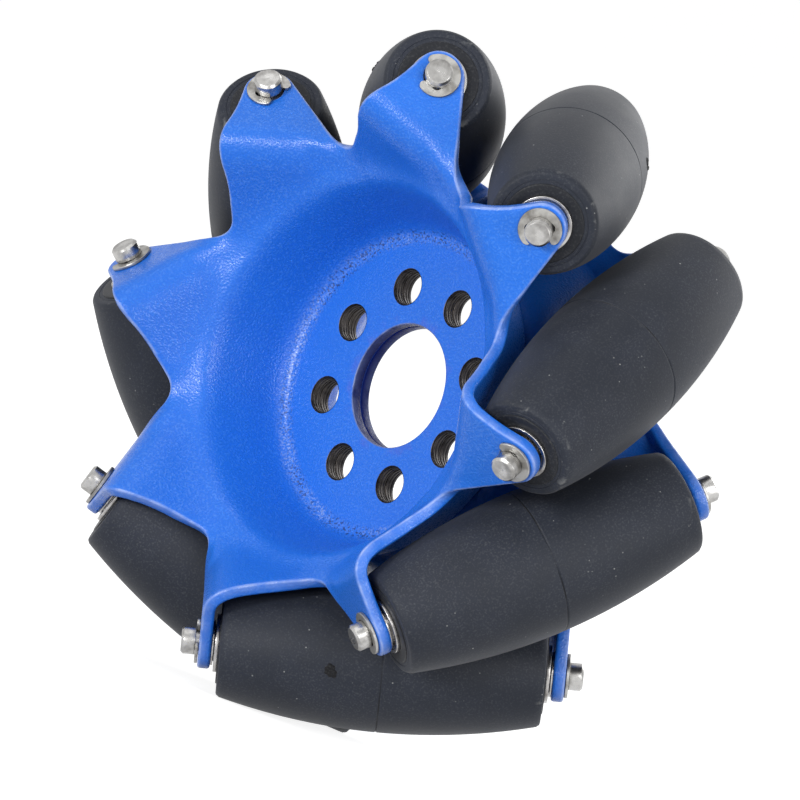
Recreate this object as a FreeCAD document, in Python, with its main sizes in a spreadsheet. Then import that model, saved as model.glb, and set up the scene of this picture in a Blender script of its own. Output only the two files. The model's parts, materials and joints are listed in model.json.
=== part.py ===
import FreeCAD, Part
import math
import os
import Sketcher

# Mecanum wheel: eight barrel rollers held at 45 degrees between two pressed plates.
# The wheel turns about Y, its front faces -Y, and the origin is the wheel's centre.

# Driving dimensions in millimetres and degrees.
DIMENSIONS = {
    "roller_count": 8,
    "roller_angle": 45,
    "roller_circle": 60,
    "first_roller": 22.5,
    # Rubber tread and nylon core of a roller, measured from the roller's middle.
    "tread_mid_radius": 16,
    "tread_end_radius": 11.4,
    "tread_half_length": 35.1,
    "tread_edge_radius": 0.7,
    "core_radius": 8.8,
    "core_half_length": 35.4,
    "core_bore_radius": 4.2,
    # Flanged bearing pressed into each end of the core.
    "bearing_radius": 6,
    "bearing_width": 4,
    "bearing_flange_radius": 6.3,
    "bearing_flange_width": 0.8,
    "bearing_shield_radius": 4.07,
    "bearing_inner_radius": 4,
    "bearing_corner": 0.25,
    "bearing_face_gap": 0.2,
    # Axle pin, its E-clips and thrust washers.
    "axle_radius": 3,
    "axle_half_length": 43.5,
    "axle_chamfer": 0.5,
    "groove_radius": 2.1,
    "groove_width": 0.8,
    "clip_radius": 4.8,
    "clip_thickness": 0.7,
    "clip_play": 0.1,
    "clip_mouth_angle": 76,
    "clip_lobe_radius": 1.25,
    "clip_lobe_place": 2.75,
    "clip_lobe_angle": 88,
    "washer_radius": 4.9,
    "washer_hole_radius": 3.1,
    "washer_thickness": 0.5,
    # Pressed plate: section of the dish.
    "sheet": 2.7,
    "bore_radius": 13.7,
    "bolt_circle_radius": 22,
    "bolt_hole_radius": 3.9,
    "flat_radius": 34.5,
    "wall_angle": 20,
    "flare_angle": 60,
    "rim_radius": 48,
    "rim_height": 24.5,
    "flat_corner": 4,
    "shoulder_corner": 8,
    # Pressed plate: lug folded square to the axle.
    "lug_tip_radius": 5.8,
    "lug_taper": 42,
    "fold_low": 35.9,
    "fold_high": 51.5,
    "fold_radius": 2.5,
    "lug_hole_radius": 3.1,
    "notch_angle": 0,
    "flank_sink": 1.9,
    # Blanks that the lug is trimmed from, longer than the finished lug.
    "fold_length": 80,
    "lug_reach": 50,
    "flank_reach": 34,
}

doc = FreeCAD.newDocument("mecanum_wheel")
dims = doc.addObject("Spreadsheet::Sheet", "dims")


def add_dimension(alias, number):
    """Puts one named number in the next free row of the sheet."""
    row = len(dims.getUsedCells()) // 2 + 1
    dims.set("A%d" % row, alias)
    dims.set("B%d" % row, "%.6g" % number)
    dims.setAlias("B%d" % row, alias)
    doc.recompute()


for alias, number in DIMENSIONS.items():
    add_dimension(alias, number)


def value(expression):
    """The number that a sheet expression gives now."""
    return float(dims.evalExpression(str(expression)))


def size(alias):
    """The number in one named cell."""
    return float(dims.get(alias))


def vector(x, y, z=0.0):
    return FreeCAD.Vector(x, y, z)


def shift(x, y, z):
    return FreeCAD.Placement(vector(x, y, z), FreeCAD.Rotation())


def turn(axis, degrees):
    return FreeCAD.Placement(vector(0, 0), FreeCAD.Rotation(axis, degrees))


X_AXIS = vector(1, 0, 0)
Z_AXIS = vector(0, 0, 1)


# Sketches, bodies and copies

def sketch_on(body, role, name):
    """A sketch on one of the body's own origin planes."""
    plane = next(item for item in body.Origin.OriginFeatures if item.Role == role)
    sketch = body.newObject("Sketcher::SketchObject", name)
    sketch.AttachmentSupport = [(plane, "")]
    sketch.MapMode = "FlatFace"
    return sketch


def bind(sketch, constraint, expression):
    """Adds a constraint whose size follows the sheet."""
    index = sketch.addConstraint(constraint)
    sketch.setExpression("Constraints[%d]" % index, expression)


def outline(sketch, corners, crown=None):
    """Draws a closed outline through corners given as pairs of sheet expressions.

    The side numbered by crown = (side, radius expression) is an arc that swells to +X.
    """
    spots = [vector(value(x), value(y)) for x, y in corners]
    count = len(spots)
    for side, spot in enumerate(spots):
        after = spots[(side + 1) % count]
        edge = Part.LineSegment(spot, after)
        if crown and side == crown[0]:
            swell = value(crown[1]) - math.sqrt(value(crown[1]) ** 2 - (after - spot).Length ** 2 / 4)
            edge = Part.Arc(spot, (spot + after) / 2 + vector(swell, 0), after)
        sketch.addGeometry(edge, False)
    for side in range(count):
        sketch.addConstraint(Sketcher.Constraint("Coincident", side, 2, (side + 1) % count, 1))
    for side, (x, y) in enumerate(corners):
        bind(sketch, Sketcher.Constraint("DistanceX", -1, 1, side, 1, spots[side].x), x)
        bind(sketch, Sketcher.Constraint("DistanceY", -1, 1, side, 1, spots[side].y), y)
    if crown:
        bind(sketch, Sketcher.Constraint("Radius", crown[0], value(crown[1])), crown[1])


def new_body(name):
    return doc.addObject("PartDesign::Body", name)


def turned_body(name, corners, crown=None):
    """A body turned about its own Z from corners given as radius and height."""
    body = new_body(name)
    sketch = sketch_on(body, "XZ_Plane", name + "_section")
    outline(sketch, corners, crown)
    revolution = body.newObject("PartDesign::Revolution", name + "_turned")
    revolution.Profile = sketch
    revolution.ReferenceAxis = (sketch, ["V_Axis"])
    revolution.Angle = 360
    doc.recompute()
    return body


def edges_near(shape, test):
    """Names of the edges whose middle point passes the test."""
    names = []
    for number, edge in enumerate(shape.Edges, 1):
        middle = edge.valueAt((edge.FirstParameter + edge.LastParameter) / 2)
        if test(middle):
            names.append("Edge%d" % number)
    return names


def round_edges(body, name, radius, test):
    """Rounds the edges of the body's last feature that pass the test."""
    base = body.Tip
    fillet = body.newObject("PartDesign::Fillet", name)
    fillet.Base = (base, edges_near(base.Shape, test))
    fillet.setExpression("Radius", radius)
    doc.recompute()


def near(first, second):
    return abs(first - second) < 0.02


def ring_radius(point):
    return math.hypot(point.x, point.y)


def copies(name, source, placements):
    """One object that repeats a source at several places."""
    members = []
    for number, placement in enumerate(placements, 1):
        member = doc.addObject("Part::Compound", "%s_copy_%d" % (name, number))
        member.Links = [source]
        member.Placement = placement
        members.append(member)
    group = doc.addObject("Part::Compound", name)
    group.Links = members
    return group


def boolean(kind, name, base, tool):
    result = doc.addObject(kind, name)
    result.Base = base
    result.Tool = tool
    return result


# Places of the rollers

COUNT = int(size("roller_count"))
PITCH = 360 / COUNT
# Sub-parts are drawn with the wheel's axle along Z, then laid over so that the front faces -Y.
LAY_OVER = turn(X_AXIS, 90)
# Roller frame: X points away from the wheel's axle and Z runs along the roller's axle to the front.
ROLLER_FRAME = shift(size("roller_circle"), 0, 0) * turn(X_AXIS, size("roller_angle"))


def wheel_turn(number):
    return turn(Z_AXIS, size("first_roller") + number * PITCH)


def roller_place(number):
    return LAY_OVER * wheel_turn(number) * ROLLER_FRAME


FLIP = turn(X_AXIS, 180)
ROLLERS = range(COUNT)

# Axle pins

# Distances along the axle from the roller's middle: washer, lug and clip follow the bearing.
WASHER_START = "(dims.core_half_length + dims.bearing_flange_width + dims.bearing_face_gap)"
LUG_START = "(%s + dims.washer_thickness)" % WASHER_START
GROOVE_START = "(%s + dims.sheet + dims.clip_play / 2)" % LUG_START
GROOVE_END = "(%s + dims.groove_width)" % GROOVE_START


def axle_corners():
    """Radius and height of the pin's section, from its rear end to its front end."""
    front = [
        ("dims.axle_radius", GROOVE_START),
        ("dims.groove_radius", GROOVE_START),
        ("dims.groove_radius", GROOVE_END),
        ("dims.axle_radius", GROOVE_END),
        ("dims.axle_radius", "dims.axle_half_length - dims.axle_chamfer"),
        ("dims.axle_radius - dims.axle_chamfer", "dims.axle_half_length"),
        ("0", "dims.axle_half_length"),
    ]
    rear = [(radius, "-(%s)" % height) for radius, height in reversed(front)]
    return rear + front


axle = turned_body("axle", axle_corners())

# E-clips: a disc with a round seat, a wedge-shaped mouth to one side and two lobes beside the seat

clip_disc = doc.addObject("Part::Cylinder", "clip_disc")
clip_disc.setExpression("Radius", "dims.clip_radius")
clip_disc.setExpression("Height", "dims.clip_thickness")
clip_seat = doc.addObject("Part::Cylinder", "clip_seat")
clip_seat.setExpression("Radius", "dims.groove_radius")
clip_seat.setExpression("Height", "dims.clip_thickness")
clip_mouth = new_body("clip_mouth")
mouth_sketch = sketch_on(clip_mouth, "XY_Plane", "mouth_sketch")
outline(mouth_sketch, [
    ("0", "0"),
    ("2 * dims.clip_radius", "-2 * dims.clip_radius * tan(dims.clip_mouth_angle / 2)"),
    ("2 * dims.clip_radius", "2 * dims.clip_radius * tan(dims.clip_mouth_angle / 2)"),
])
mouth_pad = clip_mouth.newObject("PartDesign::Pad", "mouth_pad")
mouth_pad.Profile = mouth_sketch
mouth_pad.setExpression("Length", "dims.clip_thickness")
clip_lobes = []
for side in (-1, 1):
    lobe = doc.addObject("Part::Cylinder", "clip_lobe")
    lobe.setExpression("Radius", "dims.clip_lobe_radius")
    lobe.setExpression("Height", "dims.clip_thickness")
    lobe.Placement = turn(Z_AXIS, side * size("clip_lobe_angle")) * shift(size("clip_lobe_place"), 0, 0)
    clip_lobes.append(lobe)
clip_opening = doc.addObject("Part::MultiFuse", "clip_opening")
clip_opening.Shapes = [clip_seat, clip_mouth] + clip_lobes
clip = boolean("Part::Cut", "clip", clip_disc, clip_opening)

# Thrust washers and bearings

washer = turned_body("washer", [
    ("dims.washer_hole_radius", "0"),
    ("dims.washer_radius", "0"),
    ("dims.washer_radius", "dims.washer_thickness"),
    ("dims.washer_hole_radius", "dims.washer_thickness"),
])
inner_ring = turned_body("inner_ring", [
    ("dims.axle_radius", "0"),
    ("dims.bearing_inner_radius", "0"),
    ("dims.bearing_inner_radius", "dims.bearing_width"),
    ("dims.axle_radius", "dims.bearing_width"),
])
# The outer ring stands back from the inner ring at both faces, so that it clears the washer.
FLANGE_START = "(dims.bearing_width - dims.bearing_face_gap - dims.bearing_flange_width)"
outer_ring = turned_body("outer_ring", [
    ("dims.bearing_shield_radius", "dims.bearing_face_gap"),
    ("dims.bearing_radius - dims.bearing_corner", "dims.bearing_face_gap"),
    ("dims.bearing_radius", "dims.bearing_face_gap + dims.bearing_corner"),
    ("dims.bearing_radius", FLANGE_START),
    ("dims.bearing_flange_radius", FLANGE_START),
    ("dims.bearing_flange_radius", "dims.bearing_width - dims.bearing_face_gap"),
    ("dims.bearing_shield_radius", "dims.bearing_width - dims.bearing_face_gap"),
])

# Roller core and tread

SEAT_START = "(%s - dims.bearing_width)" % WASHER_START
core = turned_body("core", [
    ("dims.bearing_radius", "-dims.core_half_length"),
    ("dims.core_radius", "-dims.core_half_length"),
    ("dims.core_radius", "dims.core_half_length"),
    ("dims.bearing_radius", "dims.core_half_length"),
    ("dims.bearing_radius", SEAT_START),
    ("dims.core_bore_radius", SEAT_START),
    ("dims.core_bore_radius", "-" + SEAT_START),
    ("dims.bearing_radius", "-" + SEAT_START),
])
# The crown is the arc that brings every point of the tread to the wheel's rolling circle.
CROWN_DROP = "(dims.tread_mid_radius - dims.tread_end_radius)"
CROWN_RADIUS = "((dims.tread_half_length ^ 2 + %s ^ 2) / (2 * %s))" % (CROWN_DROP, CROWN_DROP)
tread = turned_body("tread", [
    ("dims.core_radius", "-dims.tread_half_length"),
    ("dims.tread_end_radius", "-dims.tread_half_length"),
    ("dims.tread_end_radius", "dims.tread_half_length"),
    ("dims.core_radius", "dims.tread_half_length"),
], (1, CROWN_RADIUS))
round_edges(tread, "tread_edges", "dims.tread_edge_radius",
            lambda p: near(ring_radius(p), size("tread_end_radius")))

# Pressed plate: dish turned from its section, flat to wall to flare

flat_turn = "((90 - dims.wall_angle) / 2)"
shoulder_turn = "((dims.flare_angle - dims.wall_angle) / 2)"
# Where the wall and the flare would meet if the shoulder were sharp.
SHOULDER_HEIGHT = ("((dims.rim_radius - dims.flat_radius + dims.sheet * tan(dims.wall_angle)"
                   " - dims.rim_height * tan(dims.flare_angle))"
                   " / (tan(dims.wall_angle) - tan(dims.flare_angle)))")
SHOULDER_RADIUS = "(dims.flat_radius + (%s - dims.sheet) * tan(dims.wall_angle))" % SHOULDER_HEIGHT
BACK_FLAT_RADIUS = "(dims.flat_radius + dims.sheet * tan(%s))" % flat_turn
BACK_SHOULDER_RADIUS = ("(%s + dims.sheet * (cos(dims.wall_angle) - tan(%s) * sin(dims.wall_angle)))"
                        % (SHOULDER_RADIUS, shoulder_turn))
BACK_SHOULDER_HEIGHT = ("(%s - dims.sheet * (sin(dims.wall_angle) + tan(%s) * cos(dims.wall_angle)))"
                        % (SHOULDER_HEIGHT, shoulder_turn))
dish = turned_body("dish", [
    ("dims.bore_radius", "0"),
    (BACK_FLAT_RADIUS, "0"),
    (BACK_SHOULDER_RADIUS, BACK_SHOULDER_HEIGHT),
    ("dims.rim_radius + dims.sheet * cos(dims.flare_angle)",
     "dims.rim_height - dims.sheet * sin(dims.flare_angle)"),
    ("dims.rim_radius", "dims.rim_height"),
    (SHOULDER_RADIUS, SHOULDER_HEIGHT),
    ("dims.flat_radius", "dims.sheet"),
    ("dims.bore_radius", "dims.sheet"),
])
round_edges(dish, "dish_flat_front", "dims.flat_corner",
            lambda p: near(ring_radius(p), size("flat_radius")))
round_edges(dish, "dish_flat_back", "dims.flat_corner + dims.sheet",
            lambda p: near(ring_radius(p), value(BACK_FLAT_RADIUS)))
round_edges(dish, "dish_shoulder_front", "dims.shoulder_corner",
            lambda p: near(ring_radius(p), value(SHOULDER_RADIUS)))
round_edges(dish, "dish_shoulder_back", "dims.shoulder_corner - dims.sheet",
            lambda p: near(ring_radius(p), value(BACK_SHOULDER_RADIUS)))

# Pressed plate: one lug, drawn in the roller frame

LUG_FRONT = value(LUG_START) + size("sheet")
TAPER = math.radians(size("lug_taper"))
low_corner = vector(size("fold_low") - size("roller_circle"), -size("lug_tip_radius"), LUG_FRONT)
high_x = size("fold_high") - size("roller_circle")
high_y = (size("lug_tip_radius") - math.sin(TAPER) * high_x) / math.cos(TAPER)
high_corner = vector(high_x, high_y, LUG_FRONT)
notch = math.radians(size("notch_angle"))
rim_corner = vector(math.cos(notch), math.sin(notch)) * size("rim_radius") + Z_AXIS * size("rim_height")
rim_corner = ROLLER_FRAME.inverse().multVec(rim_corner)

# The flank is the flat three-cornered face between the fold line and the flared rim.
fold_line = (high_corner - low_corner).normalize()
lug_outward = fold_line.cross(Z_AXIS)
flank_normal = fold_line.cross(rim_corner - low_corner).normalize()
if flank_normal.dot(lug_outward) > 0:
    flank_normal = flank_normal * -1
flank_down = flank_normal.cross(fold_line)
if flank_down.z > 0:
    flank_down = flank_down * -1
add_dimension("fold_angle", math.degrees(flank_down.getAngle(lug_outward)))


def axes_place(origin, x_axis, y_axis):
    """A placement with the given origin and axes."""
    z_axis = x_axis.cross(y_axis)
    return FreeCAD.Placement(origin, FreeCAD.Rotation(x_axis, y_axis, z_axis, "ZXY"))


bent = new_body("bent_strip")
bent_section = sketch_on(bent, "XY_Plane", "bent_section")
outline(bent_section, [
    ("dims.lug_reach", "0"),
    ("0", "0"),
    ("dims.flank_reach * cos(dims.fold_angle)", "-dims.flank_reach * sin(dims.fold_angle)"),
    ("dims.flank_reach * cos(dims.fold_angle) + dims.sheet * sin(dims.fold_angle)",
     "-dims.flank_reach * sin(dims.fold_angle) + dims.sheet * cos(dims.fold_angle)"),
    ("dims.sheet / tan(dims.fold_angle / 2)", "-dims.sheet"),
    ("dims.lug_reach", "-dims.sheet"),
])
bent_pad = bent.newObject("PartDesign::Pad", "bent_pad")
bent_pad.Profile = bent_section
bent_pad.SideType = "Symmetric"
bent_pad.setExpression("Length", "dims.fold_length")
doc.recompute()
round_edges(bent, "fold_front", "dims.fold_radius + dims.sheet",
            lambda p: near(p.x, 0) and near(p.y, 0))
round_edges(bent, "fold_back", "dims.fold_radius",
            lambda p: near(p.y, -size("sheet")) and near(p.x, value("dims.sheet / tan(dims.fold_angle / 2)")))
fold_middle = (low_corner + high_corner) / 2
bent.Placement = ROLLER_FRAME * axes_place(fold_middle, lug_outward, Z_AXIS)
doc.recompute()
# Outline of the lug seen along the axle: a straight edge, a tapered edge and a round tip.
lug_outline = new_body("lug_outline")
lug_sketch = sketch_on(lug_outline, "XY_Plane", "lug_sketch")
outline(lug_sketch, [
    ("-dims.lug_reach", "-dims.lug_tip_radius"),
    ("dims.lug_tip_radius * (1 + cos(dims.lug_taper)) / sin(dims.lug_taper)", "-dims.lug_tip_radius"),
    ("-dims.lug_reach", "(dims.lug_tip_radius + dims.lug_reach * sin(dims.lug_taper)) / cos(dims.lug_taper)"),
])
lug_pad = lug_outline.newObject("PartDesign::Pad", "lug_pad")
lug_pad.Profile = lug_sketch
lug_pad.setExpression("Length", "dims.lug_reach")
doc.recompute()
round_edges(lug_outline, "lug_tip", "dims.lug_tip_radius",
            lambda p: p.x > 0 and near(p.y, -size("lug_tip_radius")) and near(p.z, size("lug_reach") / 2))
lug_outline.Placement = ROLLER_FRAME
lug_blank = boolean("Part::Common", "lug_blank", bent, lug_outline)


def half_space(name, origin, x_axis, y_axis):
    """A large box whose lower face holds the origin and the two axes, and which rises along their normal."""
    box = doc.addObject("Part::Box", name)
    for side in ("Length", "Width", "Height"):
        box.setExpression(side, "dims.fold_length")
    middle = -size("fold_length") / 2
    box.Placement = ROLLER_FRAME * axes_place(origin, x_axis, y_axis) * shift(middle, middle, 0)
    return box


# The flank's free edge runs from the high end of the fold to the rim.
free_edge = (rim_corner - high_corner).normalize()
if free_edge.cross(flank_normal).dot(low_corner - high_corner) > 0:
    free_edge = free_edge * -1
beyond_edge = half_space("beyond_edge", (high_corner + rim_corner) / 2, free_edge, flank_normal)
lug_trimmed = boolean("Part::Cut", "lug_trimmed", lug_blank, beyond_edge)

# The flank's foot ends inside the flare's thickness, along the chord where the two meet.
chord = (low_corner - rim_corner).normalize()
foot_down = chord.cross(flank_normal)
foot_middle = (low_corner + rim_corner) / 2 + foot_down * size("flank_sink")
below_flank = half_space("below_flank", foot_middle, chord, flank_normal)
lug = boolean("Part::Cut", "lug", lug_trimmed, below_flank)

# The flare's round rim is cut back along every flank.
behind_flank = half_space("behind_flank", foot_middle - flank_normal * size("sheet"), chord, foot_down)
doc.recompute()
turns = [turn(Z_AXIS, number * PITCH) for number in ROLLERS]
trimmed_dish = boolean("Part::Cut", "trimmed_dish", dish, copies("rim_cuts", behind_flank, turns))
lugs = copies("lugs", lug, turns)
joined = doc.addObject("Part::MultiFuse", "joined_plate")
joined.Shapes = [trimmed_dish] + lugs.Links
joined.Refine = True
doc.recompute()

# Holes: one for the axle in every lug, and the bolt holes in the flat.

def drill(name, radius, placement):
    """A long cylinder that rises from its placement."""
    cylinder = doc.addObject("Part::Cylinder", name)
    cylinder.setExpression("Radius", radius)
    cylinder.Height = size("lug_reach")
    cylinder.Placement = placement
    return cylinder


lug_drill = drill("lug_drill", "dims.lug_hole_radius", ROLLER_FRAME)
BOLT_PLACE = shift(size("bolt_circle_radius"), 0, -size("sheet"))
bolt_drill = drill("bolt_drill", "dims.bolt_hole_radius", BOLT_PLACE)
drills = doc.addObject("Part::Compound", "drills")
drills.Links = [lug_drill, bolt_drill]
plate = boolean("Part::Cut", "plate", joined, copies("plate_drills", drills, turns))

# The finished sub-parts, each with its own label and place

SUB_PARTS = []


def finish(label, source, placement):
    """A finished sub-part made from one source."""
    part = doc.addObject("Part::Compound", label)
    part.Links = [source]
    part.Placement = placement
    part.Label = label
    SUB_PARTS.append(part)


def finish_group(label, source, placements):
    """A finished sub-part that holds several equal solids."""
    part = copies(label, source, placements)
    part.Label = label
    SUB_PARTS.append(part)


finish("front_plate", plate, LAY_OVER * wheel_turn(0))
finish("rear_plate", plate, LAY_OVER * wheel_turn(0) * FLIP)
BEARING_END = value(WASHER_START)
BEARING_START = BEARING_END - size("bearing_width")
CLIP_START = LUG_FRONT + size("clip_play")
# A clip turns freely in its groove, so every mouth points its own way, in degrees from the rim.
CLIP_TURNS = (140, 218, 77, 199, 20, 300, 110, 250)
for side_name, side in (("front", FreeCAD.Placement()), ("rear", FLIP)):
    ends = [roller_place(number) * side for number in ROLLERS]
    clip_places = [end * shift(0, 0, CLIP_START) * turn(Z_AXIS, clip_turn)
                   for end, clip_turn in zip(ends, CLIP_TURNS)]
    finish_group(side_name + "_e_clips", clip, clip_places)
    finish_group(side_name + "_thrust_washers", washer, [end * shift(0, 0, BEARING_END) for end in ends])
    finish_group(side_name + "_bearing_inner_rings", inner_ring,
                 [end * shift(0, 0, BEARING_START) for end in ends])
for number in ROLLERS:
    name = "roller_%d" % (number + 1)
    place = roller_place(number)
    finish("axle_%d" % (number + 1), axle, place)
    finish(name + "_core", core, place)
    finish(name + "_tread", tread, place)
    finish_group(name + "_bearings", outer_ring,
                 [place * side * shift(0, 0, BEARING_START) for side in (FreeCAD.Placement(), FLIP)])

doc.recompute()
for item in doc.Objects:
    if {"Invalid", "Error"} & set(item.State):
        raise RuntimeError("%s did not build: %s" % (item.Name, item.State))
os.makedirs("parts", exist_ok=True)
for part in SUB_PARTS:
    shape = part.Shape
    if shape.isNull() or not shape.isValid():
        raise RuntimeError("%s has no valid shape" % part.Label)
    shape.exportStep(os.path.join("parts", part.Label + ".step"))
    print(part.Label, len(shape.Solids), "solids", round(shape.Volume), "mm3")
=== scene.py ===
"""Looks of a mecanum wheel: rubber rollers on slanted pins between two pressed, powder-coated plates.

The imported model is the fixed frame. Sizes are in millimetres, and meshes are built in metres.
"""
import json
import logging
import math
from dataclasses import dataclass
from enum import Enum
from typing import Iterable, Sequence

import bpy
import numpy as np
from mathutils import Matrix, Vector
from mathutils.geometry import delaunay_2d_cdt


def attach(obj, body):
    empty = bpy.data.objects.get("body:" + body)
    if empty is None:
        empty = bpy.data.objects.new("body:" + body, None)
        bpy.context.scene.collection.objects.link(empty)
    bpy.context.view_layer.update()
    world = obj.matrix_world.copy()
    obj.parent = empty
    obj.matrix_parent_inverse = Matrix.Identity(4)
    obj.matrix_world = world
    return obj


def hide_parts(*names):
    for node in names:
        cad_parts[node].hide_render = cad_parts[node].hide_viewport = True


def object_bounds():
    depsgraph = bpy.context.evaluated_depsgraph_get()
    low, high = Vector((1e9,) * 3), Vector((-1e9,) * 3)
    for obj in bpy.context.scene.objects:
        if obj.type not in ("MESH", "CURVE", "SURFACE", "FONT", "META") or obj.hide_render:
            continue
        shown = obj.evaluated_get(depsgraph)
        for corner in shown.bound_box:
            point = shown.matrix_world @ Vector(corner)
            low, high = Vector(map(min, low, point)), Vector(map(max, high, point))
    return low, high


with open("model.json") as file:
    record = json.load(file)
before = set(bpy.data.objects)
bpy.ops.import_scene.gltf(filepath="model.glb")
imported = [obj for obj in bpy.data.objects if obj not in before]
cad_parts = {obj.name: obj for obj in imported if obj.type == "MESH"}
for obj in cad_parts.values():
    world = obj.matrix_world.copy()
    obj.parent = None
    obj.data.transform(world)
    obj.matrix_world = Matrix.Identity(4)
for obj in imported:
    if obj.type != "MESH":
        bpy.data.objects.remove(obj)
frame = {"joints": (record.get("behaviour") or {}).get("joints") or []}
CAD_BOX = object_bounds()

log = logging.getLogger("mecanum_wheel")
MM = 0.001
# Keeps a divisor away from zero.
TINY = 1e-12
# Distance of the lugs' outer faces from a roller's middle, along its pin.
LUG_FRONT = 39.6
WHITE = (1.0, 1.0, 1.0, 1.0)
# Texture scale of a wave that repeats once in every unit.
WAVE_TURN = math.tau / 20
# Mesh attributes that the finishes read: a point's place in its piece's own frame, and how worn its edge is,
# with a painted highlight on the plates' edges.
OWN_PLACE = "own_place"
EDGE_WEAR_AND_HIGHLIGHT = "edge_wear_and_highlight"
# Points of a section, its corners with a rounding each, and the points and faces of a mesh.
Profile = list[tuple[float, float]]
Corners = list[tuple[float, float, float]]
Mesh = tuple[np.ndarray, list]
Socket = bpy.types.NodeSocket
# Two values of a pattern, and what a mask or a roughness is at each of them.
Levels = tuple[float, float, float, float]


class Side(Enum):
    """The two ends of every roller, and the two plates that hold them."""

    FRONT = "front"
    REAR = "rear"

    def turn(self) -> Matrix:
        """The half turn that brings a front piece to this side."""
        return Matrix.Identity(4) if self is Side.FRONT else Matrix.Rotation(math.pi, 4, "X")


class ToolMarks(Enum):
    """What the making of a steel piece left on its surface."""

    FACED = "rings about the pin"
    STAMPED = "fine random grain"
    THREADED = "grooves round a hole"


# Shader helpers

def linear(code: str) -> tuple[float, float, float, float]:
    """Turns an sRGB hex colour into linear light.

    Args:
        code: Colour such as "#2f6fd8".

    Returns:
        Red, green, blue and an alpha of 1.
    """
    parts = [int(code[place:place + 2], 16) / 255 for place in (1, 3, 5)]
    light = [part / 12.92 if part <= 0.04045 else ((part + 0.055) / 1.055) ** 2.4 for part in parts]
    return (light[0], light[1], light[2], 1.0)


def per_metre(size_mm: float) -> float:
    """The texture scale that makes one pattern cell as large as the given size."""
    return 1.0 / (size_mm * MM)


def add_node(tree: bpy.types.NodeTree, kind: str, inputs: dict | Sequence = (),
             **settings: object) -> bpy.types.Node:
    """Adds one shader node with its settings, input values and links.

    Args:
        tree: Node tree of the material or world.
        kind: Blender's name of the node type, without the words that all of them start with.
        inputs: Values or output sockets, in the order of the sockets or by their names or numbers.
        **settings: Properties of the node.

    Returns:
        The new node.
    """
    node = tree.nodes.new("ShaderNode" + kind)
    for name, setting in settings.items():
        setattr(node, name, setting)
    for name, given in inputs.items() if isinstance(inputs, dict) else enumerate(inputs):
        if isinstance(given, Socket):
            tree.links.new(given, node.inputs[name])
        else:
            node.inputs[name].default_value = given
    return node


def new_material(name: str) -> tuple[bpy.types.Material, bpy.types.NodeTree, Socket]:
    """Starts a material that reads the piece's own coordinates.

    Args:
        name: Name of the real material and how its surface was made.

    Returns:
        The material, its node tree and the socket of the coordinates.
    """
    material = bpy.data.materials.new(name)
    material.use_nodes = True
    tree = material.node_tree
    tree.nodes.clear()
    return material, tree, add_node(tree, "Attribute", attribute_name=OWN_PLACE).outputs["Vector"]


@dataclass(frozen=True)
class Patches:
    """Uneven patches of another colour: noise of a real size, cut off between two levels."""

    colour: str
    size_mm: float
    detail: float
    levels: Levels

    def laid_on(self, tree: bpy.types.NodeTree, place: Socket, under: Socket | str,
                *masks: Socket) -> tuple[Socket, Socket]:
        """Lays the patches on a colour.

        Args:
            tree: Node tree of the material.
            place: Coordinates of the piece.
            under: What lies below the patches, as a socket or a hex colour.
            *masks: What else limits them, each from 0 to 1.

        Returns:
            The mixed colour, and the bare noise for a finish that reads it again.
        """
        pattern = {"Vector": place, "Scale": per_metre(self.size_mm), "Detail": self.detail}
        noise = add_node(tree, "TexNoise", pattern).outputs[0]
        share = add_node(tree, "MapRange", (noise, *self.levels)).outputs[0]
        for mask in masks:
            share = add_node(tree, "Math", (share, mask), operation="MULTIPLY").outputs[0]
        layers = {0: share, 6: linear(under) if isinstance(under, str) else under, 7: linear(self.colour)}
        return add_node(tree, "Mix", layers, data_type="RGBA").outputs[2], noise


# Finishes

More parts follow.
